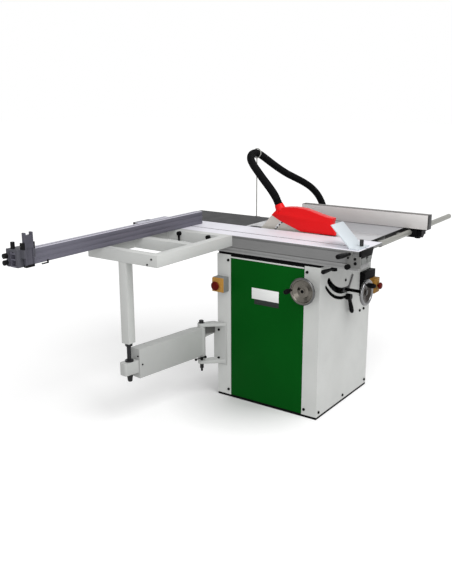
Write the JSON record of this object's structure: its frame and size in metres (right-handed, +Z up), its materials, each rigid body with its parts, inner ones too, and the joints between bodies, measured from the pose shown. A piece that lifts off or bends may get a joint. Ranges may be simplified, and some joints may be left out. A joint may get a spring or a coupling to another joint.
{
  "type": "sliding table saw",
  "caption": "Cabinet saw with sliding carriage, swing-arm outrigger, swivelling crosscut fence, round-rail rip fence, tilting and rising arbor, guarded blade and dust hose.",
  "frame": {"origin": "middle of the cabinet's footprint, on the floor", "axes": "+X to the operator's right, +Y to the rear along the carriage travel, +Z up"},
  "size_m": [2.346, 1.407, 1.2386],
  "materials": {
    "white_paint": "satin powder coat",
    "green_paint": "satin powder coat",
    "black_paint": "satin paint",
    "grey_paint": "satin paint",
    "dark_paint": "satin paint",
    "cast_iron": "ground",
    "steel": "bright",
    "dark_steel": "blackened",
    "aluminium": "anodised",
    "fence_alloy": "dark anodised",
    "wheel_alloy": "polished casting",
    "yellow_plastic": "moulded",
    "red_plastic": "moulded",
    "guard_plastic": "moulded",
    "black_plastic": "moulded",
    "hose_plastic": "ribbed",
    "belt_rubber": "moulded",
    "cage_nylon": "moulded"
  },
  "bodies": {
    "frame": {"base_plinth": "black_paint", "front_panel": "white_paint", "rear_panel": "white_paint", "side_door": "green_paint", "panel_screws": "black_plastic", "top_frame": "black_paint", "trunnion_brackets": "cast_iron", "main_table": "cast_iron", "table_insert": "steel", "right_extension": "grey_paint", "rear_extension": "dark_paint", "rip_rail": "steel", "base_rail": "aluminium", "estop_box": "yellow_plastic", "switch_box": "yellow_plastic", "arm_bracket": "white_paint", "hose_hanger": "steel", "dust_ports": "black_plastic", "hose_guard_leg": "hose_plastic", "hose_drop_leg": "hose_plastic"},
    "tilt_unit": {"tilt_cradle": "cast_iron", "lift_columns": "steel", "tilt_sector": "cast_iron", "control_bracket": "steel"},
    "lift_unit": {"arbor_block": "cast_iron", "motor": "aluminium", "drive_belt": "belt_rubber", "riving_knife": "steel"},
    "guard": {"blade_guard": "guard_plastic"},
    "arbor": {"arbor_shaft": "steel", "arbor_flanges": "steel", "saw_blade": "steel"},
    "rotor": {"motor_pulley": "steel"},
    "height_wheel": {"height_handwheel": "wheel_alloy", "height_grip": "black_plastic"},
    "screw": {"lift_screw": "steel"},
    "tilt_wheel": {"tilt_handwheel": "wheel_alloy", "tilt_grip": "black_plastic"},
    "tilt_lock": {"tilt_lock_lever": "black_plastic"},
    "slide_lock": {"slide_lock_lever": "black_plastic"},
    "slider": {"carriage": "aluminium", "carriage_caps": "black_plastic", "carriage_handle": "black_plastic", "outrigger_frame": "white_paint", "outrigger_post": "white_paint", "post_screw": "dark_steel"},
    "rollers": {"roller_cage": "cage_nylon"},
    "clamp_front": {"clamp_lever_front": "black_plastic"},
    "clamp_rear": {"clamp_lever_rear": "black_plastic"},
    "crosscut": {"crosscut_fence": "fence_alloy"},
    "stop": {"stop_block": "dark_paint"},
    "flip_stop": {"stop_arm": "fence_alloy"},
    "shoe": {"edging_shoe": "aluminium"},
    "carrier": {"rip_carrier": "black_paint"},
    "rip": {"rip_fence": "aluminium"},
    "carrier_knob": {"rip_knob": "black_plastic"},
    "swing": {"arm_outer": "white_paint"},
    "reach": {"arm_inner": "white_paint"},
    "estop": {"estop_button": "red_plastic"},
    "switch": {"switch_button": "red_plastic"}
  },
  "joints": [
    {"name": "blade_tilt", "type": "hinge", "parent": "frame", "child": "tilt_unit", "pos_m": [0, 0, 0.86], "axis": [0, 1, 0], "range_deg": [0, 45], "deforming": ["hose_guard_leg", "hose_drop_leg"]},
    {"name": "blade_lift", "type": "slide", "parent": "tilt_unit", "child": "lift_unit", "axis": [0, 0, 1], "range_m": [-0.05, 0], "deforming": ["hose_guard_leg", "hose_drop_leg"]},
    {"name": "guard_pivot", "type": "hinge", "parent": "lift_unit", "child": "guard", "pos_m": [0, 0.1, 0.945], "axis": [1, 0, 0], "range_deg": [-19.5, 0], "deforming": ["hose_guard_leg", "hose_drop_leg"]},
    {"name": "blade_spin", "type": "hinge", "parent": "lift_unit", "child": "arbor", "pos_m": [0, -0.01, 0.7755], "axis": [1, 0, 0], "continuous": true},
    {"name": "motor_spin", "type": "hinge", "parent": "lift_unit", "child": "rotor", "pos_m": [0, -0.01, 0.5855], "axis": [1, 0, 0], "continuous": true},
    {"name": "height_wheel_turn", "type": "hinge", "parent": "tilt_unit", "child": "height_wheel", "pos_m": [0, -0.4, 0.597], "axis": [0, 1, 0], "range_deg": [-1801, 1]},
    {"name": "lift_screw_turn", "type": "hinge", "parent": "tilt_unit", "child": "screw", "pos_m": [0, -0.262, 0.7], "axis": [0, 0, 1], "range_deg": [-1801, 1]},
    {"name": "tilt_wheel_turn", "type": "hinge", "parent": "frame", "child": "tilt_wheel", "pos_m": [-0.342, -0.235, 0.654], "axis": [1, 0, 0], "range_deg": [-1, 2701]},
    {"name": "tilt_lock_turn", "type": "hinge", "parent": "tilt_unit", "child": "tilt_lock", "pos_m": [0, -0.3, 0.561], "axis": [0, 1, 0], "range_deg": [-35, 35]},
    {"name": "slide_lock_turn", "type": "hinge", "parent": "frame", "child": "slide_lock", "pos_m": [-0.215, -0.33, 0.755], "axis": [0, 0, 1], "range_deg": [0, 60]},
    {"name": "carriage_slide", "type": "slide", "parent": "frame", "child": "slider", "axis": [0, 1, 0], "range_m": [-0.66, 0]},
    {"name": "roller_roll", "type": "slide", "parent": "frame", "child": "rollers", "axis": [0, 1, 0], "range_m": [-0.331, 0]},
    {"name": "clamp_front_turn", "type": "hinge", "parent": "slider", "child": "clamp_front", "pos_m": [-0.333, 0.31, 0.846], "axis": [1, 0, 0], "range_deg": [-50, 50]},
    {"name": "clamp_rear_turn", "type": "hinge", "parent": "slider", "child": "clamp_rear", "pos_m": [-0.333, 0.494, 0.846], "axis": [1, 0, 0], "range_deg": [-50, 50]},
    {"name": "fence_swivel", "type": "hinge", "parent": "slider", "child": "crosscut", "pos_m": [-0.19, 0.54, 0.87], "axis": [0, 0, 1], "range_deg": [-45, 45]},
    {"name": "stop_slide", "type": "slide", "parent": "crosscut", "child": "stop", "axis": [1, 0, 0], "range_m": [0, 0.8]},
    {"name": "stop_flip", "type": "hinge", "parent": "stop", "child": "flip_stop", "pos_m": [-1.265, 0.492, 0.955], "axis": [1, 0, 0], "range_deg": [-95, 0]},
    {"name": "shoe_slide", "type": "slide", "parent": "slider", "child": "shoe", "axis": [0, 1, 0], "range_m": [0, 0.5]},
    {"name": "rip_slide", "type": "slide", "parent": "frame", "child": "carrier", "axis": [1, 0, 0], "range_m": [-0.33, 0.2]},
    {"name": "rip_shift", "type": "slide", "parent": "carrier", "child": "rip", "axis": [0, 1, 0], "range_m": [-0.15, 0.25]},
    {"name": "rip_knob_turn", "type": "hinge", "parent": "carrier", "child": "carrier_knob", "pos_m": [0.405, -0.5, 0.838], "axis": [0, 1, 0], "range_deg": [-180, 180]},
    {"name": "arm_swing", "type": "hinge", "parent": "frame", "child": "swing", "pos_m": [-0.355, 0.342, 0.3], "axis": [0, 0, 1], "range_deg": [-0.5, 60]},
    {"name": "arm_extend", "type": "slide", "parent": "swing", "child": "reach", "axis": [-0.9904, 0.1383, 0], "range_m": [0, 0.285]},
    {"name": "estop_press", "type": "slide", "parent": "frame", "child": "estop", "axis": [1, 0, 0], "range_m": [0, 0.006], "stiffness_N_per_m": 600},
    {"name": "switch_press", "type": "slide", "parent": "frame", "child": "switch", "axis": [0, 1, 0], "range_m": [0, 0.006], "stiffness_N_per_m": 600}
  ],
  "couplings": [
    {"joint": "guard_pivot", "follows": "blade_lift", "rad_per_m": 6.632},
    {"joint": "motor_spin", "follows": "blade_spin", "ratio": 0.7},
    {"joint": "height_wheel_turn", "follows": "blade_lift", "rad_per_m": 628.3},
    {"joint": "lift_screw_turn", "follows": "blade_lift", "rad_per_m": 628.3},
    {"joint": "tilt_wheel_turn", "follows": "blade_tilt", "ratio": 60},
    {"joint": "roller_roll", "follows": "carriage_slide", "ratio": 0.5},
    {"joint": "arm_swing", "follows": "carriage_slide", "rad_per_m": -1.5721},
    {"joint": "arm_extend", "follows": "carriage_slide", "ratio": -0.4271}
  ]
}
